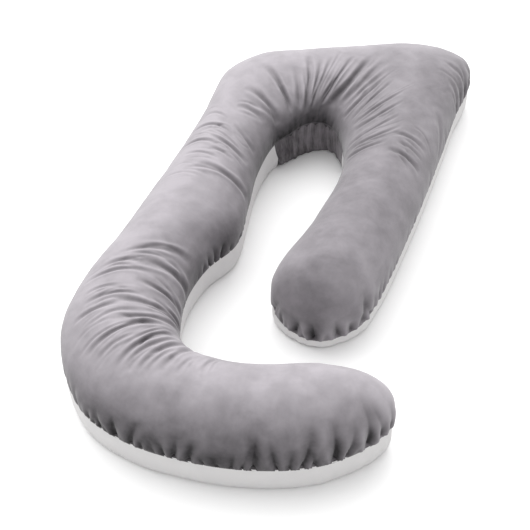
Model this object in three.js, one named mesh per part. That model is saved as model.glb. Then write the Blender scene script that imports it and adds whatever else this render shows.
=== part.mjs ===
import * as THREE from 'three';
import { mergeVertices } from 'three/addons/utils/BufferGeometryUtils.js';

// A filled body pillow in the shape of a letter G, lying on its underside.
// A long arm, a bar across the far end, a short arm that comes back beside the
// long one, and a hooked foot that curls under the short arm's rounded end.
// Millimetres, Z up. The arms run along Y and the hook opens towards +X.

// Driving dimensions

const crownHeight = 205;
const seamHeight = 75;
const neckSeamHeight = 105;
const tipSeamHeight = 26;
const neckMiddle = 9;
const neckReach = 2.6;
const tipReach = 2.2;
const overhang = 12;
const endRadius = 110;
const contactInset = 12;
const wallBulge = 5;
const clothThickness = 2;
const seamGap = 0.4;
const plainSpacing = 30;
const shortestSpacing = 7;

// Sections from the short arm's end, over the bar, down the long arm and round
// to the hook's end. Each gives the seam's two sides in plan.

const shortArmTip = [203, -208];
const hookTip = [438, -410];
const sections = [
  { outer: [280, -142], inner: [112, -190] },
  { outer: [301, -52], inner: [77, -146] },
  { outer: [307, 144], inner: [102, 52] },
  { outer: [304, 360], inner: [108, 249] },
  { outer: [293, 610], inner: [70, 375] },
  { outer: [280, 788], inner: [32, 433] },
  { outer: [167, 807], inner: [0, 450] },
  { outer: [10, 735], inner: [-25, 438] },
  { outer: [-128, 665], inner: [-53, 409] },
  { outer: [-243, 605], inner: [-74, 371] },
  { outer: [-302, 507], inner: [-100, 331] },
  { outer: [-292, 320], inner: [-103, 212] },
  { outer: [-290, 135], inner: [-80, 86] },
  { outer: [-297, -18], inner: [-61, -31] },
  { outer: [-301, -182], inner: [-94, -129] },
  { outer: [-311, -314], inner: [-100, -233] },
  { outer: [-291, -459], inner: [-79, -324] },
  { outer: [-179, -604], inner: [-47, -392] },
  { outer: [-66, -646], inner: [3, -425] },
  { outer: [65, -649], inner: [79, -428] },
  { outer: [206, -622], inner: [169, -405] },
  { outer: [326, -568], inner: [262, -368] },
  { outer: [400, -497], inner: [350, -362] },
  { outer: [428, -452], inner: [405, -372] },
];

// Main folds of the velvet, as uneven as cloth drawn round a bend makes them.
// Each line gives three points on the crown and a depth. A point is a place, a
// number of sections from the short arm's end, and how far across it lies, from
// -1 at the inner seam to 1 at the outer one.

const folds = [
  [3.60, 0.52, 3.78, 0.25, 3.88, 0.02, 6],
  [3.95, 0.50, 4.10, 0.25, 4.20, 0.02, 5],
  [4.32, 0.04, 4.25, -0.20, 4.32, -0.55, 4],
  [4.55, -0.02, 4.48, -0.25, 4.52, -0.62, 4],
  [4.85, -0.02, 4.75, -0.22, 4.78, -0.52, 5],
  [5.15, -0.03, 5.02, -0.22, 5.00, -0.55, 4],
  [5.70, -0.18, 5.48, -0.35, 5.30, -0.58, 5],
  [5.97, -0.28, 5.80, -0.45, 5.75, -0.68, 6],
  [6.25, -0.20, 6.10, -0.40, 6.00, -0.62, 4],
  [6.72, -0.12, 6.50, -0.35, 6.40, -0.62, 5],
  [7.32, -0.05, 7.05, -0.35, 6.95, -0.66, 9],
  [7.80, -0.02, 7.72, -0.30, 7.75, -0.62, 6],
  [8.35, 0.00, 8.30, -0.30, 8.30, -0.62, 4],
  [8.62, -0.02, 8.52, -0.25, 8.50, -0.58, 4],
  [8.98, 0.08, 8.85, -0.25, 8.75, -0.70, 7],
  [9.35, -0.10, 9.30, -0.35, 9.25, -0.62, 4],
  [10.25, 0.02, 10.08, -0.28, 9.90, -0.60, 7],
  [11.25, -0.08, 11.00, -0.35, 10.75, -0.66, 7],
  [11.70, -0.10, 11.50, -0.30, 11.30, -0.52, 5],
  [12.20, 0.40, 12.10, 0.20, 12.10, 0.00, 3],
  [12.60, 0.52, 12.38, 0.20, 12.32, -0.18, 6],
  [12.62, 0.08, 12.58, -0.18, 12.50, -0.52, 6],
  [12.95, 0.52, 12.78, 0.25, 12.72, -0.02, 5],
  [13.15, 0.34, 13.05, 0.12, 13.00, -0.12, 4],
  [13.36, 0.04, 13.22, -0.25, 13.15, -0.68, 9],
  [15.80, 0.08, 15.63, -0.25, 15.62, -0.64, 6],
  [15.90, 0.02, 15.86, -0.15, 15.86, -0.38, 3],
  [16.15, 0.34, 16.05, 0.10, 16.10, -0.14, 6],
  [16.10, -0.16, 16.18, -0.45, 16.26, -0.84, 9],
  [16.40, 0.44, 16.30, 0.15, 16.35, -0.24, 5],
  [16.55, -0.20, 16.75, -0.45, 17.05, -0.80, 7],
  [16.95, 0.34, 16.88, 0.10, 17.00, -0.24, 5],
  [17.20, 0.46, 17.08, 0.10, 17.10, -0.10, 5],
  [17.15, 0.00, 17.24, -0.30, 17.60, -0.72, 7],
  [17.40, 0.32, 17.38, 0.05, 17.60, -0.40, 5],
  [17.80, 0.38, 17.68, 0.05, 17.80, -0.42, 7],
  [18.12, 0.10, 18.00, -0.20, 18.15, -0.62, 5],
  [18.42, 0.24, 18.22, -0.10, 18.32, -0.58, 7],
  [18.55, 0.16, 18.46, -0.10, 18.52, -0.52, 6],
  [18.80, 0.14, 18.72, -0.15, 18.76, -0.58, 7],
  [19.22, 0.02, 19.12, -0.25, 19.16, -0.62, 6],
  [19.52, 0.00, 19.46, -0.15, 19.50, -0.38, 3],
  [19.92, -0.12, 19.86, -0.30, 19.92, -0.48, 4],
].map(([p0, a0, p1, a1, p2, a2, depth]) => ({ points: [[p0, a0], [p1, a1], [p2, a2]], depth }));

// Pinches that the stitching pulls into the velvet, square to the seam: place,
// length up the velvet and depth. This place counts sections round the whole
// seam, out along the outer side and back along the inner one.

const pinches = [
  [-1.60, 45, 6], [-0.95, 38, 4], [-0.55, 45, 7], [-0.05, 50, 8], [0.50, 45, 8],
  [0.80, 34, 6], [1.15, 70, 8], [1.50, 55, 5], [1.90, 45, 4],
  [5.22, 60, 6], [5.42, 70, 7], [5.80, 60, 5], [6.15, 60, 4],
  [17.55, 38, 4], [17.98, 45, 4], [18.25, 42, 5], [18.57, 45, 6], [18.90, 50, 9], [19.17, 55, 7],
  [19.75, 40, 5], [20.00, 55, 8], [20.35, 35, 4], [20.73, 40, 4], [21.05, 85, 9], [21.40, 72, 6],
  [21.77, 85, 8], [22.05, 40, 7], [22.38, 80, 10], [22.65, 72, 6], [23.25, 95, 11], [24.00, 80, 8],
  [24.50, 60, 5], [25.00, 52, 5], [25.45, 45, 4],
  [35.10, 40, 5], [35.40, 38, 5], [36.15, 25, 4],
].map(([place, length, depth]) => ({ place, length, depth }));

// The velvet insert on the wall at the inner end of the slot

const neckInsert = { from: 5.2, to: 10.8 };

// Seam

const sectionCount = sections.length;
const lastPlace = sectionCount + 1;
const seamLength = 2 * lastPlace;

function innerSeamHeight(place) {
  const rise = Math.exp(-(((place - neckMiddle) / neckReach) ** 2));
  return endSeamHeight(place) + (neckSeamHeight - seamHeight) * rise;
}

function endSeamHeight(place) {
  const drop = Math.exp(-((place / tipReach) ** 2));
  return seamHeight - (seamHeight - tipSeamHeight) * drop;
}

const seamPoints = [
  new THREE.Vector3(...shortArmTip, tipSeamHeight),
  ...sections.map(({ outer }, i) => new THREE.Vector3(...outer, endSeamHeight(i + 1))),
  new THREE.Vector3(...hookTip, seamHeight),
  ...sections.map(({ inner }, i) => new THREE.Vector3(...inner, innerSeamHeight(i + 1))).reverse(),
];
const seam = new THREE.CatmullRomCurve3(seamPoints, true, 'centripetal');

const seamAt = (place) => seam.getPoint(THREE.MathUtils.euclideanModulo(place, seamLength) / seamLength);
const outerSeam = (place) => seamAt(place);
const innerSeam = (place) => seamAt(-place);
const middle = (place) => outerSeam(place).lerp(innerSeam(place), 0.5);

// The ends are round: near a tip, directions fan out from one point of the spine.

function roundEndPlace(tip, step) {
  let place = tip;
  while (middle(place).distanceTo(middle(tip)) < endRadius) place += step;
  return place;
}

const firstSpinePlace = roundEndPlace(0, 0.02);
const lastSpinePlace = roundEndPlace(lastPlace, -0.02);
const spine = (place) => middle(THREE.MathUtils.clamp(place, firstSpinePlace, lastSpinePlace)).setZ(0);

// Crown

const roundedStep = (x) => (1 - (1 - THREE.MathUtils.clamp(x, 0, 1)) ** 2.2) ** (1 / 2.2);

function endFullness(place) {
  const centre = middle(place);
  const fromStart = centre.distanceTo(middle(0)) / endRadius;
  const fromEnd = centre.distanceTo(middle(lastPlace)) / endRadius;
  return roundedStep(fromStart) * roundedStep(fromEnd);
}

function crownPoint(place, across) {
  const side = Math.sin(across * Math.PI / 2);
  const point = innerSeam(place).lerp(outerSeam(place), (side + 1) / 2);
  const fullHeight = crownHeight - point.z;
  const profile = (1 - Math.abs(side) ** 2.3) ** (1 / 2.1);
  const rise = fullHeight * endFullness(place) * profile;
  const outwards = point.clone().setZ(0).sub(spine(place));
  const reach = Math.min(1, outwards.length() / 60);
  point.addScaledVector(outwards.normalize(), overhang * reach * Math.sin(Math.PI * rise / fullHeight));
  point.z += rise;
  return point;
}

function crownNormal(place, across) {
  const step = 0.02;
  const along = crownPoint(Math.min(place + step, lastPlace), across);
  along.sub(crownPoint(Math.max(place - step, 0), across));
  const sideways = crownPoint(place, Math.min(across + step, 1));
  sideways.sub(crownPoint(place, Math.max(across - step, -1)));
  const normal = sideways.cross(along);
  return normal.lengthSq() > 0 ? normal.normalize() : new THREE.Vector3(0, 0, 1);
}

// Folds and pinches

const dip = (x) => (Math.abs(x) < 1 ? 0.5 + 0.5 * Math.cos(Math.PI * x) : 0);

// A fold's line: the place it has reached at a share across.

function foldLine({ points }, across) {
  const [[p0, a0], [p1, a1], [p2, a2]] = points;
  const t = THREE.MathUtils.clamp((across - a0) / (a2 - a0), 0, 1);
  const m = (a1 - a0) / (a2 - a0);
  const start = p0 * (t - m) * (t - 1) / m;
  const through = p1 * t * (t - 1) / (m * (m - 1));
  return start + through + p2 * t * (t - m) / (1 - m);
}

function foldDepth({ points, depth }, across) {
  const t = (across - points[0][1]) / (points[2][1] - points[0][1]);
  return depth * dip(1.6 * (t - 0.5));
}

const foldMiddle = ({ points }) => (points[0][0] + 2 * points[1][0] + points[2][0]) / 4;
folds.sort((a, b) => foldMiddle(a) - foldMiddle(b));

pinches.sort((a, b) => a.place - b.place);
pinches.forEach((pinch, i) => {
  const gaps = [pinches[i - 1], pinches[i + 1]].filter(Boolean).map((other) => Math.abs(other.place - pinch.place));
  pinch.halfPitch = Math.min(0.25, ...gaps.map((gap) => gap / 2));
});

const seamSamples = Array.from({ length: 800 }, (_, i) => {
  const place = i * seamLength / 800;
  return { place, point: seamAt(place) };
});

function nearestSeam(point) {
  let nearest = seamSamples[0];
  let distance = Infinity;
  for (const sample of seamSamples) {
    const away = sample.point.distanceTo(point);
    if (away < distance) {
      distance = away;
      nearest = sample;
    }
  }
  return { place: nearest.place, distance };
}

function pinchDepth(point) {
  const { place, distance } = nearestSeam(point);
  let depth = 0;
  for (const pinch of pinches) {
    const turns = Math.round((place - pinch.place) / seamLength);
    const offset = (place - pinch.place - turns * seamLength) / pinch.halfPitch;
    const along = distance / pinch.length;
    depth += pinch.depth * dip(offset) * Math.min(1, along * 4) * dip(along);
  }
  return depth;
}

function velvetPoint(place, across, depth) {
  const point = crownPoint(place, across);
  if (Math.abs(across) === 1) return point;
  const sunk = depth + pinchDepth(point);
  return point.addScaledVector(crownNormal(place, across), -sunk * Math.sqrt(endFullness(place)));
}

// Wall between the seam and the floor. Turn is 0 at the seam and a right angle
// where the cloth reaches the floor.

function wallPoint(place, edge, turn, inwards) {
  const outwards = edge.clone().setZ(0).sub(spine(place)).normalize();
  const out = wallBulge * Math.sin(2 * turn) - contactInset * (1 - Math.cos(turn));
  const height = edge.z * (1 - Math.sin(turn));
  const outSlope = 2 * wallBulge * Math.cos(2 * turn) - contactInset * Math.sin(turn);
  const normal = new THREE.Vector2(edge.z * Math.cos(turn), outSlope).normalize();
  const point = edge.clone().addScaledVector(outwards, out - inwards * normal.x);
  point.z = height - inwards * normal.y;
  return point;
}

// Stations along the pillow: one in each fold and one on the ridge between two,
// two to a pinch, and wider ones on the plain stretches

const ridgeShare = 0.3;
const leastAdvance = 0.012;

function foldStations() {
  const valleys = folds.map((fold) => ({
    place: foldMiddle(fold),
    line: (across) => foldLine(fold, across),
    depth: (across) => foldDepth(fold, across),
  }));
  const ridges = valleys.slice(1).map((valley, i) => ({
    place: (valleys[i].place + valley.place) / 2,
    line: (across) => (valleys[i].line(across) + valley.line(across)) / 2,
    depth: (across) => -ridgeShare * (valleys[i].depth(across) + valley.depth(across)) / 2,
  })).filter((_, i) => valleys[i + 1].place - valleys[i].place < 0.7);
  return [...valleys, ...ridges];
}

const straightStation = (place) => ({ place, line: () => place, depth: () => 0 });

function allStations() {
  const kept = [0, lastPlace, ...insertStations()].map(straightStation);
  const folded = (p) => Math.abs(THREE.MathUtils.euclideanModulo(p + lastPlace, seamLength) - lastPlace);
  const atPinches = pinches.flatMap(({ place, halfPitch }) => [folded(place), folded(place + halfPitch)]);
  const wanted = [...foldStations(), ...atPinches.map(straightStation)];
  for (const station of wanted) {
    if (Math.min(...kept.map(({ place }) => stride(station.place, place))) > shortestSpacing) kept.push(station);
  }
  for (let place = 0.06; place < lastPlace; place += 0.02) {
    if (Math.min(...kept.map((other) => stride(place, other.place))) > plainSpacing) kept.push(straightStation(place));
  }
  return kept.sort((a, b) => a.place - b.place);
}

function stride(a, b) {
  if (Math.abs(a - b) > 1.5) return Infinity;
  return Math.max(outerSeam(a).distanceTo(outerSeam(b)), innerSeam(a).distanceTo(innerSeam(b)));
}

function insertStations() {
  const { from, to } = neckInsert;
  const fromGap = 0.1 * seamGap / innerSeam(from).distanceTo(innerSeam(from + 0.1));
  const toGap = 0.1 * seamGap / innerSeam(to).distanceTo(innerSeam(to + 0.1));
  return [from - fromGap, from, to, to + toGap];
}

const stations = allStations();
const insertFrom = stations.findIndex(({ place }) => place === neckInsert.from);
const insertTo = stations.findIndex(({ place }) => place === neckInsert.to);

// Each station's places across the crown. They bend along the folds between the
// two seams, and never run back past the station before.

const crownColumns = 16;

function bentPlaces() {
  const bent = stations.map(() => []);
  for (let j = 0; j <= crownColumns; j++) {
    const across = 2 * j / crownColumns - 1;
    const pull = 1 - across ** 6;
    const wanted = stations.map(({ place, line }) => place + pull * (line(across) - place));
    const ahead = [];
    wanted.forEach((place, i) => ahead.push(i ? Math.max(place, ahead[i - 1] + leastAdvance) : place));
    const behind = [];
    wanted.toReversed().forEach((place, i) => behind.push(i ? Math.min(place, behind[i - 1] - leastAdvance) : place));
    behind.reverse();
    bent.forEach((places, i) => places.push(pull ? (ahead[i] + behind[i]) / 2 : stations[i].place));
  }
  return bent;
}

const crownPlaces = bentPlaces();

// Solids from rows of points

function meshFrom(name, material, triangles) {
  const soup = new THREE.BufferGeometry();
  const corners = triangles.flat().flatMap((point) => [point.x, point.y, point.z]);
  soup.setAttribute('position', new THREE.Float32BufferAttribute(corners, 3));
  const geometry = mergeVertices(soup, 1e-3);
  const index = geometry.getIndex().array;
  const whole = [];
  for (let i = 0; i < index.length; i += 3) {
    const [a, b, c] = index.slice(i, i + 3);
    if (a !== b && b !== c && c !== a) whole.push(a, b, c);
  }
  geometry.setIndex(whole);
  geometry.computeVertexNormals();
  const mesh = new THREE.Mesh(geometry, material);
  mesh.name = name;
  return mesh;
}

const quad = (a, b, c, d) => [[a, b, c], [a, c, d]];

// The filled body: velvet crown over a core that the underside panel wraps

const wallTurns = [0, 0.3, 0.65, 1].map((x) => x * Math.PI / 2);

function bodyRing({ place, depth: sunkAt }, i) {
  const depth = clothThickness + seamGap;
  const outer = outerSeam(place);
  const inner = innerSeam(place);
  const ring = crownPlaces[i].map((bent, j) => {
    const across = 2 * j / crownColumns - 1;
    return velvetPoint(bent, across, sunkAt(across));
  });
  for (const turn of wallTurns) ring.push(wallPoint(place, outer, turn, depth));
  for (const turn of wallTurns.toReversed()) ring.push(wallPoint(place, inner, turn, depth));
  return ring;
}

function filledBody(material) {
  const rings = stations.map(bodyRing);
  const triangles = [];
  for (let i = 0; i + 1 < rings.length; i++) {
    const [near, far] = [rings[i], rings[i + 1]];
    for (let j = 0; j < near.length; j++) {
      const next = (j + 1) % near.length;
      triangles.push(...quad(near[j], near[next], far[next], far[j]));
    }
  }
  return meshFrom('filled_body', material, triangles);
}

// Cloth panels on the walls and floor side, as sheets with a face and a back

function panelRow(place, inwards) {
  const outer = outerSeam(place);
  const inner = innerSeam(place);
  const row = wallTurns.map((turn) => wallPoint(place, outer, turn, inwards));
  const outerFoot = row.at(-1);
  const innerFoot = wallPoint(place, inner, Math.PI / 2, inwards);
  const width = outerFoot.distanceTo(innerFoot);
  const step = Math.min(0.5, width > 0 ? seamGap / width : 0.5);
  row.push(outerFoot.clone().lerp(innerFoot, 0.5), outerFoot.clone().lerp(innerFoot, 1 - step));
  for (const turn of wallTurns.toReversed()) row.push(wallPoint(place, inner, turn, inwards));
  row[0].z -= seamGap;
  row.at(-1).z -= seamGap;
  return row;
}

const faceRows = stations.map(({ place }) => panelRow(place, 0));
const backRows = stations.map(({ place }) => panelRow(place, clothThickness));
const firstInsertColumn = wallTurns.length + 2;
const columnCount = faceRows[0].length - 1;

function panel(name, material, keep) {
  const rowCount = stations.length - 1;
  const inside = (i, j) => i >= 0 && j >= 0 && i < rowCount && j < columnCount && keep(i, j);
  const triangles = [];
  for (let i = 0; i < rowCount; i++) {
    for (let j = 0; j < columnCount; j++) {
      if (!inside(i, j)) continue;
      const face = [faceRows[i][j], faceRows[i][j + 1], faceRows[i + 1][j + 1], faceRows[i + 1][j]];
      const back = [backRows[i][j], backRows[i][j + 1], backRows[i + 1][j + 1], backRows[i + 1][j]];
      triangles.push(...quad(...face), ...quad(back[0], back[3], back[2], back[1]));
      const neighbours = [[i - 1, j], [i, j + 1], [i + 1, j], [i, j - 1]];
      neighbours.forEach(([ni, nj], side) => {
        const atTip = ni < 0 || ni === rowCount;
        if (atTip || inside(ni, nj)) return;
        const [a, b] = [side, (side + 1) % 4];
        triangles.push(...quad(face[b], face[a], back[a], back[b]));
      });
    }
  }
  return meshFrom(name, material, triangles);
}

const besideInsert = (i) => i >= insertFrom - 1 && i <= insertTo;
const inUnderside = (i, j) => j < firstInsertColumn - 1 || !besideInsert(i);
const inInsert = (i, j) => j >= firstInsertColumn && i >= insertFrom && i < insertTo;

// Materials

const velvet = new THREE.MeshStandardMaterial({ color: 0x9d969d, roughness: 0.9, metalness: 0 });
const shadedVelvet = new THREE.MeshStandardMaterial({ color: 0x6f6870, roughness: 0.9, metalness: 0 });
const whiteCloth = new THREE.MeshStandardMaterial({ color: 0xdedcda, roughness: 0.95, metalness: 0 });

// Assembly, centred over the floor

const pillow = new THREE.Group();
pillow.add(
  filledBody(velvet),
  panel('underside_panel', whiteCloth, inUnderside),
  panel('neck_insert', shadedVelvet, inInsert),
);
const bounds = new THREE.Box3().setFromObject(pillow);
const centre = bounds.getCenter(new THREE.Vector3());
pillow.position.set(-centre.x, -centre.y, 0);

export default pillow;
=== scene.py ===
import bpy
import math
import random
import numpy as np
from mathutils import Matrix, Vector, kdtree, noise


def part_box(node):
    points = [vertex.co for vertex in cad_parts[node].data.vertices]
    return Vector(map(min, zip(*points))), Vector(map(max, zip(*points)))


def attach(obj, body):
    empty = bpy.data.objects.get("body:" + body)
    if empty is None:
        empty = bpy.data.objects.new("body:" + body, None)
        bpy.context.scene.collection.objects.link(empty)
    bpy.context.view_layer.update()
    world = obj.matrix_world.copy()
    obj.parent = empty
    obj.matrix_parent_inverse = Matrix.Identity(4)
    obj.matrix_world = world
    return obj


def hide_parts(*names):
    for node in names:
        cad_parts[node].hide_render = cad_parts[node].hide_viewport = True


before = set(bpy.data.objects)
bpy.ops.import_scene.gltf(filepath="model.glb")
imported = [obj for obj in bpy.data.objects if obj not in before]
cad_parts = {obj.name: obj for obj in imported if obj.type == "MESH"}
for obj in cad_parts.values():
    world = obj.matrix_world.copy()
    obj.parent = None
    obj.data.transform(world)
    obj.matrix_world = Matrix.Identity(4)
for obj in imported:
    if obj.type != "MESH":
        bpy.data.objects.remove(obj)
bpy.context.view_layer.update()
random.seed(7)
print("frame loaded")

# the sewn form, in metres: a G of one tube, lying on its white side

pillowForm = {
    "crownHeight": 0.205,       # floor to the top of the filled arms
    "seamHeight": 0.075,        # floor to the seam round the outside
    "neckSeamHeight": 0.105,    # the seam rides up at the inner end of the slot
    "tipSeamHeight": 0.026,     # and sinks at the short arm's end
    "neckMiddle": 9,
    "neckReach": 2.6,
    "tipReach": 2.2,
    "overhang": 0.012,          # the velvet swells out past the seam
    "endRadius": 0.11,
    "contactInset": 0.012,
    "wallBulge": 0.005,
    "shortArmTip": (0.203, -0.208),
    "hookTip": (0.438, -0.410),
}

# outer seam x, y and inner seam x, y, from the short arm's end to the hook's
sections = [
    (0.280, -0.142, 0.112, -0.190),
    (0.301, -0.052, 0.077, -0.146),
    (0.307, 0.144, 0.102, 0.052),
    (0.304, 0.360, 0.108, 0.249),
    (0.293, 0.610, 0.070, 0.375),
    (0.280, 0.788, 0.032, 0.433),
    (0.167, 0.807, 0.000, 0.450),
    (0.010, 0.735, -0.025, 0.438),
    (-0.128, 0.665, -0.053, 0.409),
    (-0.243, 0.605, -0.074, 0.371),
    (-0.302, 0.507, -0.100, 0.331),
    (-0.292, 0.320, -0.103, 0.212),
    (-0.290, 0.135, -0.080, 0.086),
    (-0.297, -0.018, -0.061, -0.031),
    (-0.301, -0.182, -0.094, -0.129),
    (-0.311, -0.314, -0.100, -0.233),
    (-0.291, -0.459, -0.079, -0.324),
    (-0.179, -0.604, -0.047, -0.392),
    (-0.066, -0.646, 0.003, -0.425),
    (0.065, -0.649, 0.079, -0.428),
    (0.206, -0.622, 0.169, -0.405),
    (0.326, -0.568, 0.262, -0.368),
    (0.400, -0.497, 0.350, -0.362),
    (0.428, -0.452, 0.405, -0.372),
]
lastPlace = len(sections) + 1
seamLength = 2 * lastPlace


def endSeamHeight(place):
    drop = np.exp(-(place / pillowForm["tipReach"]) ** 2)
    return pillowForm["seamHeight"] - (pillowForm["seamHeight"] - pillowForm["tipSeamHeight"]) * drop


def innerSeamHeight(place):
    rise = np.exp(-((place - pillowForm["neckMiddle"]) / pillowForm["neckReach"]) ** 2)
    return endSeamHeight(place) + (pillowForm["neckSeamHeight"] - pillowForm["seamHeight"]) * rise


def makeSeamPoints():
    outer = [(x, y, endSeamHeight(i + 1)) for i, (x, y, _, _) in enumerate(sections)]
    inner = [(x, y, innerSeamHeight(i + 1)) for i, (_, _, x, y) in enumerate(sections)]
    start = (*pillowForm["shortArmTip"], pillowForm["tipSeamHeight"])
    end = (*pillowForm["hookTip"], pillowForm["seamHeight"])
    return np.array([start, *outer, end, *reversed(inner)])


seamPoints = makeSeamPoints()


def seamAt(place):
    # one closed curve through the seam's points, evenly tight at every bend
    place = np.mod(np.asarray(place, float), seamLength)
    first = np.floor(place).astype(int) % seamLength
    w = (place - np.floor(place))[:, None]
    p0, p1, p2, p3 = (seamPoints[(first + i) % seamLength] for i in (-1, 0, 1, 2))
    d0, d1, d2 = (np.linalg.norm(b - a, axis=1)[:, None] ** 0.5 for a, b in ((p0, p1), (p1, p2), (p2, p3)))
    t1 = ((p1 - p0) / d0 - (p2 - p0) / (d0 + d1) + (p2 - p1) / d1) * d1
    t2 = ((p2 - p1) / d1 - (p3 - p1) / (d1 + d2) + (p3 - p2) / d2) * d1
    return p1 + t1 * w + (-3 * p1 + 3 * p2 - 2 * t1 - t2) * w**2 + (2 * p1 - 2 * p2 + t1 + t2) * w**3


def middleAt(place):
    return (seamAt(place) + seamAt(-np.asarray(place))) / 2


def endPlace(tip, step):
    place = tip
    tipPoint = middleAt([tip])
    while np.linalg.norm(middleAt([place]) - tipPoint) < pillowForm["endRadius"]:
        place += step
    return place


firstSpinePlace = endPlace(0, 0.02)
lastSpinePlace = endPlace(lastPlace, -0.02)


def spineAt(place):
    return middleAt(np.clip(place, firstSpinePlace, lastSpinePlace)) * (1, 1, 0)


def endFullness(place):
    middle = middleAt(place)
    full = np.ones(len(middle))
    for tip in (0, lastPlace):
        away = np.linalg.norm(middle - middleAt([tip]), axis=1) / pillowForm["endRadius"]
        full *= (1 - (1 - np.clip(away, 0, 1)) ** 2.2) ** (1 / 2.2)
    return full


def crownPoints(place, across):
    side = np.sin(across * math.pi / 2)
    inner, outer = seamAt(-place), seamAt(place)
    point = inner + (outer - inner) * ((side + 1) / 2)[:, None]
    fullHeight = pillowForm["crownHeight"] - point[:, 2]
    share = endFullness(place) * np.maximum(1 - np.abs(side) ** 2.3, 0) ** (1 / 2.1)
    outwards = (point - spineAt(place)) * (1, 1, 0)
    length = np.maximum(np.linalg.norm(outwards, axis=1), 1e-6)
    swell = pillowForm["overhang"] * np.minimum(1, length / 0.06) * np.sin(math.pi * share)
    point += outwards / length[:, None] * swell[:, None]
    point[:, 2] += fullHeight * share
    return point


def wallPoints(place, edge, turn, inwards=0.0):
    # turn is 0 at the seam and a right angle where the cloth meets the floor
    outwards = (edge - spineAt(place)) * (1, 1, 0)
    outwards /= np.maximum(np.linalg.norm(outwards, axis=1), 1e-6)[:, None]
    bulge, inset = pillowForm["wallBulge"], pillowForm["contactInset"]
    out = bulge * np.sin(2 * turn) - inset * (1 - np.cos(turn))
    slope = 2 * bulge * np.cos(2 * turn) - inset * np.sin(turn)
    normalOut, normalUp = edge[:, 2] * np.cos(turn), slope
    length = np.hypot(normalOut, normalUp)
    point = edge + outwards * (out - inwards * normalOut / length)[:, None]
    point[:, 2] = np.maximum(edge[:, 2] * (1 - np.sin(turn)) - inwards * normalUp / length, 0)
    return point


def fitToFrame():
    # the form's outline is centred on the panel that the frame holds
    places = np.linspace(0, lastPlace, 4000)
    rings = [wallPoints(places, seamAt(side * places), np.full(4000, turn * math.pi / 2))
             for side in (1, -1) for turn in (0, 0.3, 0.65)]
    outline = np.concatenate(rings)
    low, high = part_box("underside_panel")
    shift = (np.array(low) + np.array(high)) / 2 - (outline.min(0) + outline.max(0)) / 2
    return shift * (1, 1, 0)


formShift = fitToFrame()
seamPoints += formShift
print("form shift", formShift)


def evenPlaces(spacing):
    # places along the pillow, evenly spaced by the seam's two sides
    fine = np.linspace(0, lastPlace, 6000)
    outer, inner = seamAt(fine), seamAt(-fine)
    stride = np.linalg.norm(np.diff(outer, axis=0), axis=1) + np.linalg.norm(np.diff(inner, axis=0), axis=1)
    run = np.concatenate([[0], np.cumsum(stride / 2)])
    count = round(run[-1] / spacing)
    return np.interp(np.linspace(0, run[-1], count + 1), run, fine)


# creases of the crown: three points of place and share across (-1 inner seam, 1 outer seam),
# then depth and width in millimetres

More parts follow.
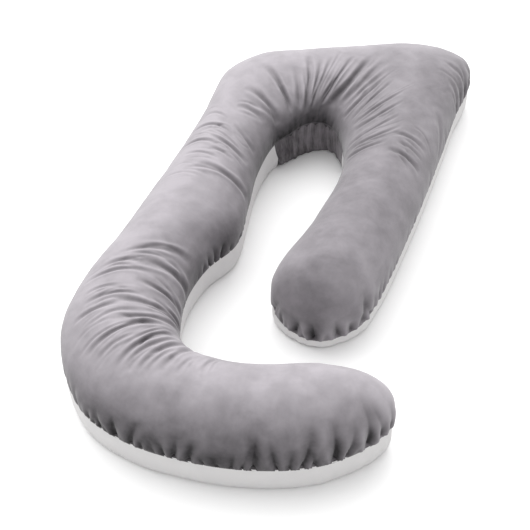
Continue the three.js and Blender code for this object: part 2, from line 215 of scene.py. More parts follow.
creases = {
    "shortArmRoot": [
        (3.88, 0.02, 3.78, 0.25, 3.60, 0.52, 7, 6),
        (4.00, 0.15, 3.90, 0.35, 3.80, 0.50, 4, 4),
        (4.20, 0.02, 4.10, 0.25, 3.95, 0.50, 6, 5),
        (4.05, -0.10, 4.05, -0.35, 4.15, -0.62, 5, 5),
        (4.32, 0.04, 4.25, -0.20, 4.32, -0.55, 5, 5),
        (4.55, -0.02, 4.48, -0.25, 4.52, -0.62, 5, 5),
        (4.85, -0.02, 4.75, -0.22, 4.78, -0.52, 5, 5),
        (5.15, -0.03, 5.02, -0.22, 5.00, -0.55, 5, 5),
        (4.65, 0.50, 4.40, 0.65, 4.10, 0.82, 3, 7),
    ],
    "farCorner": [
        (5.70, -0.18, 5.48, -0.35, 5.30, -0.58, 5, 5),
        (5.97, -0.28, 5.80, -0.45, 5.75, -0.68, 6, 5),
        (6.25, -0.20, 6.10, -0.40, 6.00, -0.62, 4, 5),
        (6.72, -0.12, 6.50, -0.35, 6.40, -0.62, 5, 6),
        (5.72, 0.42, 5.50, 0.62, 5.32, 0.86, 4, 6),
        (5.30, 0.50, 5.15, 0.66, 4.95, 0.86, 3, 6),
        (6.10, 0.56, 5.95, 0.72, 5.75, 0.90, 4, 6),
    ],
    "neck": [
        (7.32, -0.05, 7.05, -0.35, 6.95, -0.66, 9, 9),
        (7.80, -0.02, 7.72, -0.30, 7.75, -0.62, 6, 6),
        (8.35, 0.00, 8.30, -0.30, 8.30, -0.62, 4, 5),
        (8.62, -0.02, 8.52, -0.25, 8.50, -0.58, 5, 5),
        (8.98, 0.08, 8.85, -0.25, 8.75, -0.70, 8, 6),
        (9.35, -0.10, 9.30, -0.35, 9.25, -0.62, 4, 7),
        (10.25, 0.02, 10.08, -0.28, 9.90, -0.60, 8, 7),
        (11.25, -0.08, 11.00, -0.35, 10.75, -0.66, 7, 8),
        (11.70, -0.10, 11.50, -0.30, 11.30, -0.52, 5, 7),
    ],
    "longArmTop": [
        (12.20, 0.40, 12.10, 0.20, 12.10, 0.00, 3, 5),
        (12.10, -0.20, 12.10, -0.40, 12.05, -0.62, 4, 6),
        (12.60, 0.52, 12.38, 0.20, 12.32, -0.18, 7, 5),
        (12.62, 0.08, 12.58, -0.18, 12.50, -0.52, 7, 6),
        (12.95, 0.52, 12.78, 0.25, 12.72, -0.02, 6, 5),
        (12.90, 0.02, 12.82, -0.12, 12.80, -0.32, 5, 5),
        (13.15, 0.34, 13.05, 0.12, 13.00, -0.12, 4, 4),
        (13.36, 0.04, 13.22, -0.25, 13.15, -0.68, 9, 7),
        (13.60, 0.25, 13.50, 0.05, 13.50, -0.15, 2, 5),
        (13.72, 0.42, 13.62, 0.20, 13.60, 0.00, 2, 4),
    ],
    "nearBend": [
        (15.80, 0.08, 15.63, -0.25, 15.62, -0.64, 6, 8),
        (15.90, 0.02, 15.86, -0.15, 15.86, -0.38, 3, 4),
        (16.05, -0.16, 16.12, -0.45, 16.22, -0.84, 10, 8),
        (16.15, 0.34, 16.05, 0.10, 16.10, -0.14, 6, 6),
        (16.40, 0.44, 16.30, 0.15, 16.35, -0.24, 6, 5),
        (16.55, -0.20, 16.75, -0.45, 17.05, -0.80, 8, 6),
        (16.72, 0.38, 16.68, 0.20, 16.75, 0.00, 4, 4),
        (16.95, 0.34, 16.88, 0.10, 17.00, -0.24, 6, 5),
        (17.20, 0.46, 17.13, 0.20, 17.15, 0.00, 6, 5),
        (17.05, 0.00, 17.20, -0.30, 17.60, -0.72, 8, 6),
        (17.05, -0.40, 17.30, -0.60, 17.55, -0.86, 5, 4),
        (17.40, 0.32, 17.30, 0.10, 17.40, -0.18, 4, 5),
        (17.45, 0.06, 17.52, -0.20, 17.80, -0.62, 6, 5),
        (17.80, 0.38, 17.68, 0.05, 17.80, -0.42, 8, 5),
        (18.00, 0.36, 17.90, 0.15, 17.95, -0.12, 4, 5),
        (18.12, 0.06, 18.02, -0.20, 18.15, -0.62, 5, 5),
        (18.42, 0.24, 18.22, -0.10, 18.32, -0.58, 8, 6),
        (18.55, 0.16, 18.46, -0.10, 18.52, -0.52, 6, 5),
        (18.80, 0.14, 18.72, -0.15, 18.76, -0.58, 8, 6),
        (18.98, 0.10, 18.92, -0.10, 18.96, -0.34, 3, 5),
        (19.22, 0.02, 19.12, -0.25, 19.16, -0.62, 6, 6),
        (19.52, 0.00, 19.46, -0.15, 19.50, -0.38, 3, 5),
        (19.92, -0.12, 19.86, -0.30, 19.92, -0.48, 4, 5),
    ],
}

# pinches of the seam: place round the seam, length up the velvet and depth in millimetres

pinches = {
    "shortArmEnd": [
        (-1.60, 50, 8), (-1.32, 38, 4), (-1.12, 34, 4), (-0.95, 38, 6), (-0.55, 45, 10), (-0.30, 30, 4),
        (-0.05, 50, 11), (0.50, 50, 11), (0.80, 34, 8), (1.00, 34, 7), (1.15, 75, 10), (1.50, 60, 7),
        (1.66, 50, 5), (1.84, 50, 6), (2.02, 45, 5),
    ],
    "shortArmSide": [
        (2.30, 40, 3), (2.52, 34, 3), (2.86, 40, 2), (3.20, 34, 3), (3.45, 38, 2), (3.80, 40, 3),
        (4.10, 34, 2), (4.45, 44, 3), (4.72, 36, 2),
    ],
    "farCorner": [(5.05, 45, 4), (5.22, 60, 6), (5.40, 70, 7), (5.58, 50, 5), (5.80, 60, 5), (6.15, 60, 4)],
    "hook": [
        (17.55, 35, 3), (17.80, 40, 3), (17.98, 45, 4), (18.25, 42, 5), (18.40, 45, 5), (18.57, 42, 6),
        (18.90, 48, 9), (19.17, 55, 7), (19.38, 30, 4), (19.75, 32, 5), (19.90, 50, 8), (20.13, 50, 8),
        (20.35, 26, 4), (20.55, 26, 4), (20.73, 36, 4), (20.88, 52, 5), (21.05, 85, 9), (21.40, 72, 6),
        (21.58, 46, 5), (21.77, 85, 8), (21.98, 38, 8), (22.38, 80, 11), (22.60, 72, 6), (23.25, 95, 12),
        (24.00, 80, 8), (24.50, 60, 5), (25.00, 52, 5), (25.45, 45, 4),
    ],
    "bulge": [
        (34.80, 36, 4), (35.10, 40, 5), (35.25, 42, 5), (35.42, 36, 5), (35.75, 22, 4),
        (36.15, 18, 5), (36.50, 16, 4),
    ],
}

velvetFolds = {
    "creaseShare": 0.72,        # of the depths above
    "ridgeShare": 0.42,         # how far a crease's two sides stand up against its depth
    "feather": 0.18,            # how far a crease runs out past its end points
    "fineCreases": 2,           # finer creases beside each main one
    "pinchReach": 1.4,          # against the lengths above
    "finePinchGap": 0.026,      # finer pinches all round the seam
    "finePinchDepth": 0.0016,
    "seamFade": 0.03,           # creases and lumps fade out this near the seam
    "lumpSize": 0.085,
    "lumpDepth": 0.0016,
    "puff": 0.0030,             # the velvet rolls over the seam between the pinches
    "puffReach": 0.008,
}


def allCreases():
    made = []
    for rows in creases.values():
        for row in rows:
            made.append(row)
            for _ in range(velvetFolds["fineCreases"]):
                shift = random.choice((-1, 1)) * random.uniform(0.06, 0.16)
                slide = random.uniform(-0.2, 0.2)
                shrink = random.uniform(0.5, 1.0)
                middle = row[3] + slide
                made.append((
                    row[0] + shift, middle + (row[1] - row[3]) * shrink,
                    row[2] + shift * random.uniform(0.8, 1.2), middle,
                    row[4] + shift * random.uniform(0.3, 1.0), middle + (row[5] - row[3]) * shrink,
                    row[6] * random.uniform(0.2, 0.5), row[7] * random.uniform(0.5, 0.8),
                ))
    return made


def creaseHeights(place, across):
    step = 0.01
    ahead = crownPoints(np.minimum(place + step, lastPlace), across)
    stride = np.linalg.norm(ahead - crownPoints(place, across), axis=1) / step
    height = np.zeros(len(place))
    for p0, a0, p1, a1, p2, a2, depth, width in allCreases():
        # the ends feather out past the points
        feather = velvetFolds["feather"]
        a0, a2 = a0 + (a0 - a1) * feather, a2 + (a2 - a1) * feather
        inReach = (np.abs(place - p1) < 1.0) & (across < max(a0, a2)) & (across > min(a0, a2))
        if not inReach.any():
            continue
        t = (across[inReach] - a0) / (a2 - a0)
        m = (a1 - a0) / (a2 - a0)
        # one bent line through the three points
        line = p0 * (t - m) * (t - 1) / m + p1 * t * (t - 1) / (m * (m - 1)) + p2 * t * (t - m) / (1 - m)
        slope = (p2 - p0) * stride[inReach] / (abs(a2 - a0) * 0.2)
        away = (place[inReach] - line) * stride[inReach] / np.sqrt(1 + slope**2)
        x = away / (width * 0.001 * (0.8 + 0.5 * np.abs(2 * t - 1)))
        fade = np.sin(math.pi * t) ** 0.8
        valley = np.exp(-(x**2))
        sides = np.exp(-((x - 1.7) ** 2)) + np.exp(-((x + 1.7) ** 2))
        sunk = depth * 0.001 * velvetFolds["creaseShare"] * fade
        height[inReach] -= sunk * (valley - velvetFolds["ridgeShare"] * sides)
    return height


seamSamples = np.arange(6000) * seamLength / 6000
seamCurve = seamAt(seamSamples)
seamSteps = np.linalg.norm(np.diff(np.vstack([seamCurve, seamCurve[:1]]), axis=0), axis=1)
seamRun = np.concatenate([[0], np.cumsum(seamSteps)])
seamTree = kdtree.KDTree(len(seamCurve))
for i, point in enumerate(seamCurve):
    seamTree.insert(point, i)
seamTree.balance()


def runAt(place):
    return np.interp(np.mod(place, seamLength), np.arange(6001) * seamLength / 6000, seamRun)


def allPinches():
    made = [row for rows in pinches.values() for row in rows]
    run = 0
    while run < seamRun[-1]:
        run += velvetFolds["finePinchGap"] * random.uniform(0.5, 1.5)
        place = np.interp(run, seamRun, np.arange(6001) * seamLength / 6000)
        length = random.uniform(16, 36)
        made.append((place, length, 1000 * velvetFolds["finePinchDepth"] * random.uniform(0.3, 1.3)))
    return made


pinchForm = {
    "slant": 0.25,              # the most that a pinch leans to one side as it goes up
    "width": 0.0030,            # at the seam
    "widthByDepth": 0.0003,     # and for each millimetre of depth
    "spread": 0.05,             # how it widens up the velvet
    "spreadByDepth": 0.004,
    "taper": 1.6,
    "ridgeShare": 0.35,
}


def nearSeam(points):
    found = [seamTree.find(point) for point in points]
    return seamRun[[f[1] for f in found]], np.array([f[2] for f in found])


def pinchHeights(run, distance):
    # how deep the pinches draw the velvet in, and how far each point is from any pinch
    height = np.zeros(len(run))
    openness = np.ones(len(run))
    whole = seamRun[-1]
    for place, length, depth in allPinches():
        length *= velvetFolds["pinchReach"]
        offset = np.mod(run - runAt(place) + whole / 2, whole) - whole / 2
        inReach = (np.abs(offset) < 0.06) & (distance < length * 0.001)
        if not inReach.any():
            continue
        s = distance[inReach]
        lean = pinchForm["slant"] * math.sin(place * 7.3)
        spread = pinchForm["spread"] + pinchForm["spreadByDepth"] * depth
        width = pinchForm["width"] + pinchForm["widthByDepth"] * depth + spread * s
        x = (offset[inReach] - lean * s) / width
        # the finer ones start further up the velvet
        start = 0.007 if depth > 3 else 0.012
        fade = (1 - (s / (length * 0.001)) ** pinchForm["taper"]) * np.clip(s / start, 0, 1)
        valley = np.exp(-np.abs(x) ** 1.3)
        sides = np.exp(-((np.abs(x) - 2.1) ** 2))
        height[inReach] -= depth * 0.001 * fade * (valley - pinchForm["ridgeShare"] * sides)
        openness[inReach] *= 1 - max(0, min(1, (depth - 4) / 6)) * np.exp(-(x**2))
    return height, openness


# pieces

def deselectAll():
    bpy.ops.object.select_all(action="DESELECT")


def bentGrid(name, columns, rows, shape):
    # a flat grid whose every point is then taken to its place on the form
    deselectAll()
    bpy.ops.mesh.primitive_grid_add(x_subdivisions=columns, y_subdivisions=rows, size=2)
    piece = bpy.context.object
    piece.name = piece.data.name = name
    flat = np.empty(len(piece.data.vertices) * 3)
    piece.data.vertices.foreach_get("co", flat)
    flat = flat.reshape(-1, 3)
    bent = shape((flat[:, 0] + 1) / 2, (flat[:, 1] + 1) / 2)
    piece.data.vertices.foreach_set("co", bent.ravel())
    piece.data.update()
    return piece


def mergeAndTurnOut(piece, distance=1e-5):
    deselectAll()
    piece.select_set(True)
    bpy.context.view_layer.objects.active = piece
    bpy.ops.object.mode_set(mode="EDIT")
    bpy.ops.mesh.select_all(action="SELECT")
    bpy.ops.mesh.remove_doubles(threshold=distance)
    bpy.ops.mesh.dissolve_degenerate(threshold=1e-6)
    bpy.ops.mesh.normals_make_consistent(inside=False)
    bpy.ops.object.mode_set(mode="OBJECT")
    bpy.ops.object.shade_smooth()


velvetCover = {
    "spacing": 0.0055,
    "crownColumns": 72,
    "coreColumns": 10,
    "coreDepth": 0.0026,
}


def makeVelvetCover():
    cut = velvetCover
    places = evenPlaces(cut["spacing"])
    columns = cut["crownColumns"] + cut["coreColumns"]

    def shape(alongShare, roundShare):
        place = np.interp(alongShare * (len(places) - 1), np.arange(len(places)), places)
        column = roundShare * columns
        across = np.clip(column / cut["crownColumns"], 0, 1) * 2 - 1
        points = crownPoints(place, across)
        onCrown = column < cut["crownColumns"] + 0.5
        # under the seam the filling is wrapped by the white panel
        core = (column - cut["crownColumns"]) / cut["coreColumns"]
        turn = np.clip(np.where(core < 0.5, core / 0.4, (1 - core) / 0.4), 0, 1) * math.pi / 2
        outer = wallPoints(place, seamAt(place), turn, cut["coreDepth"])
        inner = wallPoints(place, seamAt(-place), turn, cut["coreDepth"])
        under = np.where((core < 0.5)[:, None], outer, inner)
        closing = (core > 0.999)[:, None]
        under = np.where(closing, seamAt(-place), under)
        return np.where(onCrown[:, None], points, under)

    piece = bentGrid("velvetCover", len(places) - 1, columns, shape)
    mergeAndTurnOut(piece)
    return piece, places


cover, coverPlaces = makeVelvetCover()
print("velvet cover", len(cover.data.polygons))


def readPoints(piece):
    points = np.empty(len(piece.data.vertices) * 3)
    piece.data.vertices.foreach_get("co", points)
    return points.reshape(-1, 3)


def applyModifier(piece, kind, **values):
    deselectAll()
    piece.select_set(True)
    bpy.context.view_layer.objects.active = piece
    bpy.ops.object.modifier_add(type=kind)
    modifier = piece.modifiers[-1]
    for name, value in values.items():
        setattr(modifier, name, value)
    bpy.ops.object.modifier_apply(modifier=modifier.name)


filling = {"pressure": 4, "frames": 16, "mostSwell": 0.010, "bending": 0.3, "stretch": 15}


def fillCover():
    # the crown is blown up like a stuffed cover while the seam is held
    before = readPoints(cover)
    run, distance = nearSeam(before)
    seamHeight = np.interp(run, seamRun[:-1], seamCurve[:, 2])
    held = cover.vertex_groups.new(name="held")
    onSeam = (before[:, 2] < seamHeight - 0.0005) | (distance < 0.0015)
    held.add(np.flatnonzero(onSeam).tolist(), 1.0, "REPLACE")
    deselectAll()
    cover.select_set(True)
    bpy.context.view_layer.objects.active = cover
    bpy.ops.object.modifier_add(type="CLOTH")
    cloth = cover.modifiers[-1]
    settings = cloth.settings
    settings.quality = 5
    settings.tension_stiffness = settings.compression_stiffness = filling["stretch"]
    settings.bending_stiffness = filling["bending"]
    settings.use_pressure = True
    settings.uniform_pressure_force = filling["pressure"]
    settings.effector_weights.gravity = 0
    settings.vertex_group_mass = "held"
    settings.pin_stiffness = 1.0
    cloth.collision_settings.use_collision = False
    cloth.point_cache.frame_start, cloth.point_cache.frame_end = 1, filling["frames"]
    for step in range(1, filling["frames"] + 1):
        bpy.context.scene.frame_set(step)
    bpy.ops.object.modifier_apply(modifier=cloth.name)
    moved = readPoints(cover) - before
    length = np.linalg.norm(moved, axis=1)
    keep = np.minimum(1, filling["mostSwell"] / np.maximum(length, 1e-9))
    cover.data.vertices.foreach_set("co", (before + moved * keep[:, None]).ravel())
    cover.data.update()
    cover.vertex_groups.clear()
    bpy.context.scene.frame_set(1)


fillCover()
print("cover filled")


paintedLightTable = [
    # place, the way (x, y, z) that the cloth is painted lighter when it faces it and darker when it faces
    # away, and how much lighter it is painted all over there: painted light and shade
    (0, -0.05, 0.12, 0.12, 0.15),
    (4, 0.00, 0.14, 0.12, 0.16),
    (5.5, -0.05, 0.30, 0.20, 0.14),
    (7, -0.15, 0.37, 0.45, 0.07),
    (8.5, -0.35, 0.36, 0.62, 0.03),
    (11, -0.35, 0.34, 0.65, 0.05),
    (12.5, -0.30, 0.30, 0.60, 0.14),
    (16, -0.30, 0.30, 0.55, 0.13),
    (17.5, -0.28, 0.38, 0.55, 0.05),
    (20, -0.20, 0.45, 0.50, 0.06),
    (22, 0.10, 0.45, 0.50, 0.09),
    (23.5, 0.26, 0.42, 0.45, 0.18),
    (25, 0.32, 0.36, 0.45, 0.38),
]


# painted shade in the folds' valleys and painted highlights on their ridges, on the short arm's end and
# along the seam over the neck
paintedPileLight = {
    "foldDepth": 0.007,         # a valley this deep is painted as dark as the painted shade goes
    "ridgeHighlightLimit": 0.45,
    "creaseShadeStrength": 0.36,
    "tipSidesHighlight": 0.38,             # the sides at the short arm's end are painted lighter: painted highlight
    "tipSidesHighlightReach": 2.4,
    "neckSeamHighlight": 0.42,           # and a strip along the seam over the neck is painted lighter: painted highlight
    "neckMiddle": 8.4,
    "neckReach": 3.4,
    "neckWidth": 0.0035,
}


def paintPileLight(piece, place, lightRows, height, sideHighlight=0.0, seamHighlight=0.0):
    # the colour is painted lighter where the cloth faces the table's way and darker where it faces away,
    # darker in a fold's valley and lighter on its ridge: painted light, shade and highlights
    table = np.array(lightRows).T
    lean = np.stack([np.interp(place, table[0], table[i]) for i in (1, 2, 3)], 1)
    lean[:, 0] += sideHighlight
    piece.data.attributes.new("paintedLightFacing", "FLOAT_VECTOR", "POINT").data.foreach_set("vector", lean.ravel())
    lift = np.interp(place, table[0], table[4]) + (
        np.clip(height / paintedPileLight["foldDepth"], -1, paintedPileLight["ridgeHighlightLimit"]) * paintedPileLight["creaseShadeStrength"]
    ) + seamHighlight
    piece.data.attributes.new("paintedLightLift", "FLOAT", "POINT").data.foreach_set("value", lift)


def foldCover():
    # creases, pinches and lumps are worked into the filled velvet
    applyModifier(cover, "SUBSURF", levels=1, render_levels=1)
    mesh = cover.data
    points = readPoints(cover)
    grid = np.empty(len(mesh.loops) * 2)
    mesh.uv_layers[0].data.foreach_get("uv", grid)
    corner = np.empty(len(mesh.loops), int)
    mesh.loops.foreach_get("vertex_index", corner)
    share = np.zeros((len(points), 2))
    share[corner] = grid.reshape(-1, 2)
    place = np.interp(share[:, 0] * (len(coverPlaces) - 1), np.arange(len(coverPlaces)), coverPlaces)
    columns = velvetCover["crownColumns"] + velvetCover["coreColumns"]
    across = share[:, 1] * columns / velvetCover["crownColumns"] * 2 - 1
    run, distance = nearSeam(points)
    seamHeight = np.interp(run, seamRun[:-1], seamCurve[:, 2])
    onCrown = (points[:, 2] > seamHeight - 0.0003) & (np.abs(across) <= 1.0001)
    normals = np.empty(len(points) * 3)
    mesh.vertices.foreach_get("normal", normals)
    normals = normals.reshape(-1, 3)
    across = np.clip(across, -1, 1)
    awayFromSeam = np.clip(distance / velvetFolds["seamFade"], 0, 1)
    height = creaseHeights(place, across) * awayFromSeam
    pinch, openness = pinchHeights(run, distance)
    height += pinch
    folds = height.copy()
    size = velvetFolds["lumpSize"]
    lumps = np.array([
        noise.noise(Vector(p) / size) + 0.35 * noise.noise(Vector(p) * 3.1 / size) for p in points
    ])
    height += velvetFolds["lumpDepth"] * lumps * awayFromSeam
    outwards = (points - spineAt(place)) * (1, 1, 0)
    outwards /= np.maximum(np.linalg.norm(outwards, axis=1), 1e-6)[:, None]
    reach = distance / velvetFolds["puffReach"]
    puff = velvetFolds["puff"] * reach * np.exp(1 - reach) * (0.25 + 0.75 * openness)
    moved = normals * height[:, None] + outwards * (0.35 * puff)[:, None]
    moved[:, 2] -= puff
    mesh.vertices.foreach_set("co", (points + moved * onCrown[:, None]).ravel())
    mesh.update()
    # painted highlights: the sides of the short arm's end and a strip along the seam over the neck are
    # painted lighter
    sideHighlight = paintedPileLight["tipSidesHighlight"] * np.clip(across * 1.6, -1, 1) * np.exp(-(place / paintedPileLight["tipSidesHighlightReach"]) ** 2)
    overNeck = np.clip(paintedPileLight["neckReach"] - np.abs(place - paintedPileLight["neckMiddle"]), 0, 1) * (across < 0)
    seamHighlight = paintedPileLight["neckSeamHighlight"] * overNeck * np.exp(-(distance / paintedPileLight["neckWidth"]) ** 2)
    # the folds' valleys are painted darker and their ridges lighter: painted shade and highlight
    paintPileLight(cover, place, paintedLightTable, folds, sideHighlight, seamHighlight)


foldCover()
print("cover folded", len(cover.data.polygons))

whitePanel = {
    "spacing": 0.005,
    "columns": 44,
    "creaseDepth": 0.25,        # against the depth of the pinch above it
    "creaseWidth": 0.09,        # in sections of the seam
}


def makeWhitePanel():
    places = evenPlaces(whitePanel["spacing"])

    def shape(alongShare, roundShare):
        place = np.interp(alongShare * (len(places) - 1), np.arange(len(places)), places)
        fromSeam = np.where(roundShare < 0.5, roundShare / 0.4, (1 - roundShare) / 0.4)
        turn = np.clip(fromSeam, 0, 1) * math.pi / 2
        drawnIn = np.zeros((2, len(place)))
        height = 0.75 * np.sin(2 * turn)
        for rows in pinches.values():
            for centre, _, depth in rows:
                sunk = depth * 0.001 * whitePanel["creaseDepth"]
                for side, seamPlace in enumerate((place, -place)):
                    offset = np.mod(seamPlace - centre + lastPlace, seamLength) - lastPlace
                    drawnIn[side] += sunk * np.exp(-((offset / whitePanel["creaseWidth"]) ** 2)) * height
        outer = wallPoints(place, seamAt(place), turn, drawnIn[0])
        inner = wallPoints(place, seamAt(-place), turn, drawnIn[1])
        mix = np.clip((roundShare - 0.4) / 0.2, 0, 1)[:, None]
        return outer * (1 - mix) + inner * mix

    piece = bentGrid("whitePanel", len(places) - 1, whitePanel["columns"], shape)
    mergeAndTurnOut(piece)
    return piece


panel = makeWhitePanel()
print("white panel", len(panel.data.polygons))

# the neck insert laps the panel's cut end

neckInsert = {
    "from": 5.2,
    "toAtSeam": 11.05,
    "toAtFloor": 10.6,
    "rows": 240,
    "columns": 36,
    "lap": 0.0007,
    "turnUnder": 0.0016,
    # the insert's painted light and shade: place, the way (x, y, z) that it is painted lighter when faced,
    # and how much lighter all over
    "paintedPileLight": [(0, -0.25, -0.10, 0.20, 0.20), (1, -0.25, -0.10, 0.20, 0.20)],
    # upright pinches: place at the seam, place at the floor, depth and width in millimetres
    "pinches": [
        (10.22, 10.20, 4, 5), (10.02, 9.95, 6, 5), (9.84, 9.70, 5, 5), (9.30, 9.20, 3, 7),
        (8.70, 8.80, 3, 7), (8.10, 8.30, 3, 7), (7.25, 6.90, 6, 6), (6.85, 6.35, 8, 7),
        (6.50, 6.00, 7, 6), (6.15, 5.70, 5, 6),
    ],
}


def makeNeckInsert():
    cut = neckInsert
    sunk = []

    def shape(alongShare, roundShare):
        turn = roundShare * math.pi / 2
        end = cut["toAtFloor"] + (cut["toAtSeam"] - cut["toAtFloor"]) * np.cos(turn) ** 3
        place = cut["from"] + alongShare * (end - cut["from"])
        drawnIn = np.full(len(place), -cut["lap"])
        for top, foot, depth, width in cut["pinches"]:
            centre = top + (foot - top) * roundShare
            stride = np.linalg.norm(seamAt(-place - 0.01) - seamAt(-place), axis=1) / 0.01
            x = (place - centre) * stride / (width * 0.001)
            fade = np.sin(math.pi * np.clip(roundShare * 0.8 + 0.1, 0, 1))
            drawnIn += depth * 0.001 * fade * (np.exp(-(x**2)) - 0.4 * np.exp(-((np.abs(x) - 1.8) ** 2)))
        # the two cut ends turn under
        under = np.minimum(alongShare, 1 - alongShare) * cut["rows"]
        sunk.append(drawnIn.copy())
        drawnIn += cut["turnUnder"] * np.clip(1 - under / 2, 0, 1)
        return wallPoints(place, seamAt(-place), turn, drawnIn)

    piece = bentGrid("neckInsert", cut["rows"], cut["columns"], shape)
    # the insert's pinch valleys are painted darker and their ridges lighter: painted shade and highlight
    paintPileLight(piece, np.zeros(len(sunk[0])), cut["paintedPileLight"], -sunk[0])
    mergeAndTurnOut(piece)
    return piece


insert = makeNeckInsert()


def selectFaces(piece, wanted):
    mesh = piece.data
    for part in (mesh.vertices, mesh.edges, mesh.polygons):
        part.foreach_set("select", np.zeros(len(part), bool))
    deselectAll()
    piece.select_set(True)
    bpy.context.view_layer.objects.active = piece
    bpy.ops.object.mode_set(mode="EDIT")
    bpy.ops.mesh.select_mode(type="FACE")
    bpy.ops.object.mode_set(mode="OBJECT")
    mesh.polygons.foreach_set("select", wanted)
    bpy.ops.object.mode_set(mode="EDIT")


def cutPanelForInsert():
    centres = np.array([p.center for p in panel.data.polygons])
    foot = seamAt(-np.linspace(neckInsert["from"] + 0.15, neckInsert["toAtFloor"] - 0.12, 400))[:, :2]
    near = np.array([np.linalg.norm(foot - centre[:2], axis=1).min() for centre in centres])
    # behind the insert, short of its edges and of the floor
    selectFaces(panel, (near < 0.0165) & (centres[:, 2] > 0.0005))
    bpy.ops.mesh.delete(type="FACE")
    bpy.ops.object.mode_set(mode="OBJECT")


cutPanelForInsert()
print("neck insert set in")

# finishes

finishes = {
    "velvet": {
        # the velvet's painted light and painted shade colours, mixed by how the cloth faces
        "paintedLightColour": (0.435, 0.408, 0.437, 1),
        "paintedShadeColour": (0.020, 0.018, 0.020, 1),
        "sheen": 0.35,
        "patches": 0.60,
        "streaks": 0.2,
    },
    "insert": {
        # the insert's painted light and painted shade colours, mixed by how the cloth faces
        "paintedLightColour": (0.34, 0.316, 0.336, 1),
        "paintedShadeColour": (0.015, 0.013, 0.015, 1),
        "sheen": 0.15,
        "patches": 1.1,
        "streaks": 0.8,
    },
    "whiteCloth": {
        "clean": (0.86, 0.85, 0.845, 1),
        "shaded": (0.78, 0.765, 0.77, 1),
    },
}


def newGroup(name, inputs, outputs):
    tree = bpy.data.node_groups.new(name, "ShaderNodeTree")
    for label, kind, value in inputs:
        made = tree.interface.new_socket(label, in_out="INPUT", socket_type=kind)
        if value is not None:
            made.default_value = value
    for label, kind in outputs:
        tree.interface.new_socket(label, in_out="OUTPUT", socket_type=kind)
    return tree, tree.nodes.new("NodeGroupInput"), tree.nodes.new("NodeGroupOutput")


def addNode(tree, kind, **values):
    node = tree.nodes.new(kind)
    for name, value in values.items():
        if hasattr(node, name):
            setattr(node, name, value)
        else:
            node.inputs[name.replace("_", " ")].default_value = value
    return node


def makePaintedLightGroup():
    # the colour is painted lighter where the cloth faces the given way and darker where it faces away,
    # shifted by Lift: painted light and shade, over soft streaks and patches of uneven tone
    tree, given, put = newGroup("paintedLightOfVelvet", [
        ("Place", "NodeSocketVector", None),
        ("Cut", "NodeSocketVector", None),
        ("Facing", "NodeSocketVector", None),
        ("LightFacing", "NodeSocketVector", None),
        ("Lift", "NodeSocketFloat", 0.0),
        ("Light", "NodeSocketColor", None),
        ("Dark", "NodeSocketColor", None),
        ("Patches", "NodeSocketFloat", 0.5),
        ("Streaks", "NodeSocketFloat", 0.5),
    ], [("Color", "NodeSocketColor"), ("Pile", "NodeSocketFloat")])
    link = tree.links.new
    lean = addNode(tree, "ShaderNodeVectorMath", operation="DOT_PRODUCT")
    link(given.outputs["Facing"], lean.inputs[0])
    link(given.outputs["LightFacing"], lean.inputs[1])
    lifted = addNode(tree, "ShaderNodeMath", operation="ADD")
    link(lean.outputs["Value"], lifted.inputs[0])
    link(given.outputs["Lift"], lifted.inputs[1])
    spread = addNode(tree, "ShaderNodeMapRange")
    spread.inputs["From Min"].default_value = -0.6
    spread.inputs["From Max"].default_value = 0.85
    link(lifted.outputs[0], spread.inputs["Value"])
    total = spread.outputs["Result"]
    patches = addNode(tree, "ShaderNodeTexNoise", Scale=16.0, Detail=6.0, Roughness=0.6, Distortion=0.2)
    link(given.outputs["Place"], patches.inputs["Vector"])
    drawn = addNode(tree, "ShaderNodeMapping")
    drawn.inputs["Scale"].default_value = (1.0, 0.28, 1.0)
    link(given.outputs["Cut"], drawn.inputs["Vector"])
    streaks = addNode(tree, "ShaderNodeTexNoise", Scale=24.0, Detail=3.5, Roughness=0.55, Distortion=0.3)
    link(drawn.outputs["Vector"], streaks.inputs["Vector"])
    for texture, strength in ((patches, "Patches"), (streaks, "Streaks")):
        centred = addNode(tree, "ShaderNodeMath", operation="SUBTRACT")
        centred.inputs[1].default_value = 0.5
        link(texture.outputs["Fac"], centred.inputs[0])
        scaled = addNode(tree, "ShaderNodeMath", operation="MULTIPLY_ADD")
        link(centred.outputs[0], scaled.inputs[0])
        link(given.outputs[strength], scaled.inputs[1])
        link(total, scaled.inputs[2])
        total = scaled.outputs[0]
    mix = addNode(tree, "ShaderNodeMix", data_type="RGBA", clamp_factor=True)
    link(total, mix.inputs[0])
    link(given.outputs["Dark"], mix.inputs[6])
    link(given.outputs["Light"], mix.inputs[7])
    link(mix.outputs[2], put.inputs["Color"])
    hairs = addNode(tree, "ShaderNodeTexNoise", Scale=850.0, Detail=2.0)
    link(given.outputs["Place"], hairs.inputs["Vector"])
    link(hairs.outputs["Fac"], put.inputs["Pile"])
    return tree


paintedLightGroup = makePaintedLightGroup()


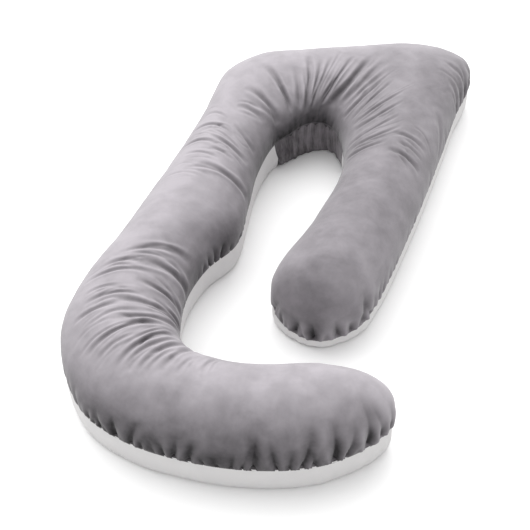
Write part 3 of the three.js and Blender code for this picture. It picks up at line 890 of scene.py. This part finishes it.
def makeVelvet(name, finish):
    material = bpy.data.materials.new(name)
    material.use_nodes = True
    tree = material.node_tree
    shader = tree.nodes["Principled BSDF"]
    shader.inputs["Roughness"].default_value = 0.85
    shader.inputs["Specular IOR Level"].default_value = 0.15
    shader.inputs["Sheen Weight"].default_value = finish["sheen"]
    shader.inputs["Sheen Roughness"].default_value = 0.4
    place = addNode(tree, "ShaderNodeTexCoord")
    facing = addNode(tree, "ShaderNodeNewGeometry")
    # painted light and shade: the base colour is mixed by how the cloth faces
    paintedLightNode = tree.nodes.new("ShaderNodeGroup")
    paintedLightNode.node_tree = paintedLightGroup
    paintedLightNode.inputs["Light"].default_value = finish["paintedLightColour"]
    paintedLightNode.inputs["Dark"].default_value = finish["paintedShadeColour"]
    paintedLightNode.inputs["Patches"].default_value = finish["patches"]
    paintedLightNode.inputs["Streaks"].default_value = finish["streaks"]
    # the grid is 3.6 m along the pillow and 0.6 m round it
    cut = addNode(tree, "ShaderNodeMapping")
    cut.inputs["Scale"].default_value = (3.6, 0.6, 1)
    lean = addNode(tree, "ShaderNodeAttribute", attribute_name="paintedLightFacing")
    lift = addNode(tree, "ShaderNodeAttribute", attribute_name="paintedLightLift")
    bump = addNode(tree, "ShaderNodeBump", Strength=0.45, Distance=0.0006)
    tree.links.new(place.outputs["Object"], paintedLightNode.inputs["Place"])
    tree.links.new(place.outputs["UV"], cut.inputs["Vector"])
    tree.links.new(cut.outputs["Vector"], paintedLightNode.inputs["Cut"])
    tree.links.new(facing.outputs["Normal"], paintedLightNode.inputs["Facing"])
    tree.links.new(lean.outputs["Vector"], paintedLightNode.inputs["LightFacing"])
    tree.links.new(lift.outputs["Fac"], paintedLightNode.inputs["Lift"])
    tree.links.new(paintedLightNode.outputs["Color"], shader.inputs["Base Color"])
    tree.links.new(paintedLightNode.outputs["Pile"], bump.inputs["Height"])
    tree.links.new(bump.outputs["Normal"], shader.inputs["Normal"])
    return material


def makeWeaveGroup():
    # plain weave with slack, softly crumpled cloth between its threads
    tree, given, put = newGroup("plainWeave", [
        ("Thread", "NodeSocketVector", None),
        ("Place", "NodeSocketVector", None),
    ], [("Shade", "NodeSocketFloat"), ("Height", "NodeSocketFloat")])
    link = tree.links.new
    warp = addNode(tree, "ShaderNodeTexWave", bands_direction="X", Scale=320.0, Distortion=0.6)
    weft = addNode(tree, "ShaderNodeTexWave", bands_direction="Y", Scale=320.0, Distortion=0.6)
    for wave in (warp, weft):
        link(given.outputs["Thread"], wave.inputs["Vector"])
    threads = addNode(tree, "ShaderNodeMath", operation="MAXIMUM")
    link(warp.outputs["Fac"], threads.inputs[0])
    link(weft.outputs["Fac"], threads.inputs[1])
    crumple = addNode(tree, "ShaderNodeTexNoise", Scale=22.0, Detail=4.0, Roughness=0.55, Distortion=0.5)
    link(given.outputs["Place"], crumple.inputs["Vector"])
    raised = addNode(tree, "ShaderNodeMath", operation="MULTIPLY_ADD")
    raised.inputs[1].default_value = 0.06
    link(threads.outputs[0], raised.inputs[0])
    link(crumple.outputs["Fac"], raised.inputs[2])
    link(raised.outputs[0], put.inputs["Height"])
    link(crumple.outputs["Fac"], put.inputs["Shade"])
    return tree


def makeWhiteCloth(name, finish):
    material = bpy.data.materials.new(name)
    material.use_nodes = True
    tree = material.node_tree
    shader = tree.nodes["Principled BSDF"]
    shader.inputs["Roughness"].default_value = 0.9
    shader.inputs["Specular IOR Level"].default_value = 0.2
    shader.inputs["Sheen Weight"].default_value = 0.1
    place = addNode(tree, "ShaderNodeTexCoord")
    thread = addNode(tree, "ShaderNodeMapping")
    thread.inputs["Scale"].default_value = (3.6, 0.45, 1)
    weave = tree.nodes.new("ShaderNodeGroup")
    weave.node_tree = makeWeaveGroup()
    mix = addNode(tree, "ShaderNodeMix", data_type="RGBA")
    mix.inputs[6].default_value = finish["shaded"]
    mix.inputs[7].default_value = finish["clean"]
    bump = addNode(tree, "ShaderNodeBump", Strength=0.6, Distance=0.0025)
    tree.links.new(place.outputs["UV"], thread.inputs["Vector"])
    tree.links.new(thread.outputs["Vector"], weave.inputs["Thread"])
    tree.links.new(place.outputs["Object"], weave.inputs["Place"])
    tree.links.new(weave.outputs["Shade"], mix.inputs[0])
    tree.links.new(mix.outputs[2], shader.inputs["Base Color"])
    tree.links.new(weave.outputs["Height"], bump.inputs["Height"])
    tree.links.new(bump.outputs["Normal"], shader.inputs["Normal"])
    return material


cover.data.materials.append(makeVelvet("greyVelvet", finishes["velvet"]))
insert.data.materials.append(makeVelvet("insertVelvet", finishes["insert"]))
panel.data.materials.append(makeWhiteCloth("whiteCloth", finishes["whiteCloth"]))
print("finishes made")

for piece, node, slot in (
    (cover, "filled_body", "velvet"),
    (panel, "underside_panel", "underside_cloth"),
    (insert, "neck_insert", "insert_velvet"),
):
    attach(piece, "root")
    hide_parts(node)

# floor, light and camera

studio = {
    "azimuth": 21, "elevation": 45, "distance": 3.12, "focalPixels": 1300,
    "worldLight": 0.75,
    "keyLight": 2.6,            # a very wide soft light from the back left
    "keySpread": 75,
    "keyFrom": (-0.9, 1.1, 2.0),
    "floorSeen": 1.05, "floorBounce": 0.7,
}


def makeFloor():
    deselectAll()
    bpy.ops.mesh.primitive_plane_add(size=30, location=(0, 0, -0.0005))
    floor = bpy.context.object
    floor.name = "floor"
    material = bpy.data.materials.new("paleFloor")
    material.use_nodes = True
    nodes, links = material.node_tree.nodes, material.node_tree.links
    nodes.remove(nodes["Principled BSDF"])
    seen = nodes.new("ShaderNodeBsdfDiffuse")
    seen.inputs["Color"].default_value = (*[studio["floorSeen"]] * 3, 1)
    bounced = nodes.new("ShaderNodeBsdfDiffuse")
    bounced.inputs["Color"].default_value = (*[studio["floorBounce"]] * 3, 1)
    ray = nodes.new("ShaderNodeLightPath")
    mix = nodes.new("ShaderNodeMixShader")
    links.new(ray.outputs["Is Camera Ray"], mix.inputs[0])
    links.new(bounced.outputs[0], mix.inputs[1])
    links.new(seen.outputs[0], mix.inputs[2])
    links.new(mix.outputs[0], nodes["Material Output"].inputs["Surface"])
    floor.data.materials.append(material)


def makeLight():
    world = bpy.data.worlds.new("studioSky") if not bpy.data.worlds else bpy.data.worlds[0]
    bpy.context.scene.world = world
    world.use_nodes = True
    sky = world.node_tree.nodes["Background"]
    sky.inputs["Color"].default_value = (1, 1, 1, 1)
    sky.inputs["Strength"].default_value = studio["worldLight"]
    deselectAll()
    bpy.ops.object.light_add(type="SUN", location=studio["keyFrom"])
    key = bpy.context.object
    key.data.energy = studio["keyLight"]
    key.data.angle = math.radians(studio["keySpread"])
    key.rotation_euler = (-Vector(studio["keyFrom"])).to_track_quat("-Z", "Y").to_euler()


def makeCamera():
    azimuth, elevation = math.radians(studio["azimuth"]), math.radians(studio["elevation"])
    level = math.cos(elevation)
    back = Vector((math.sin(azimuth) * level, -math.cos(azimuth) * level, math.sin(elevation)))
    camera = bpy.data.cameras.new("camera")
    camera.sensor_width = 36
    camera.lens = 36 * studio["focalPixels"] / 530
    holder = bpy.data.objects.new("camera", camera)
    bpy.context.collection.objects.link(holder)
    holder.location = Vector(formShift) + back * studio["distance"]
    holder.rotation_euler = (-back).to_track_quat("-Z", "Y").to_euler()
    bpy.context.scene.camera = holder


makeFloor()
makeLight()
makeCamera()
bpy.context.scene.view_settings.view_transform = "Standard"
print("stage set")
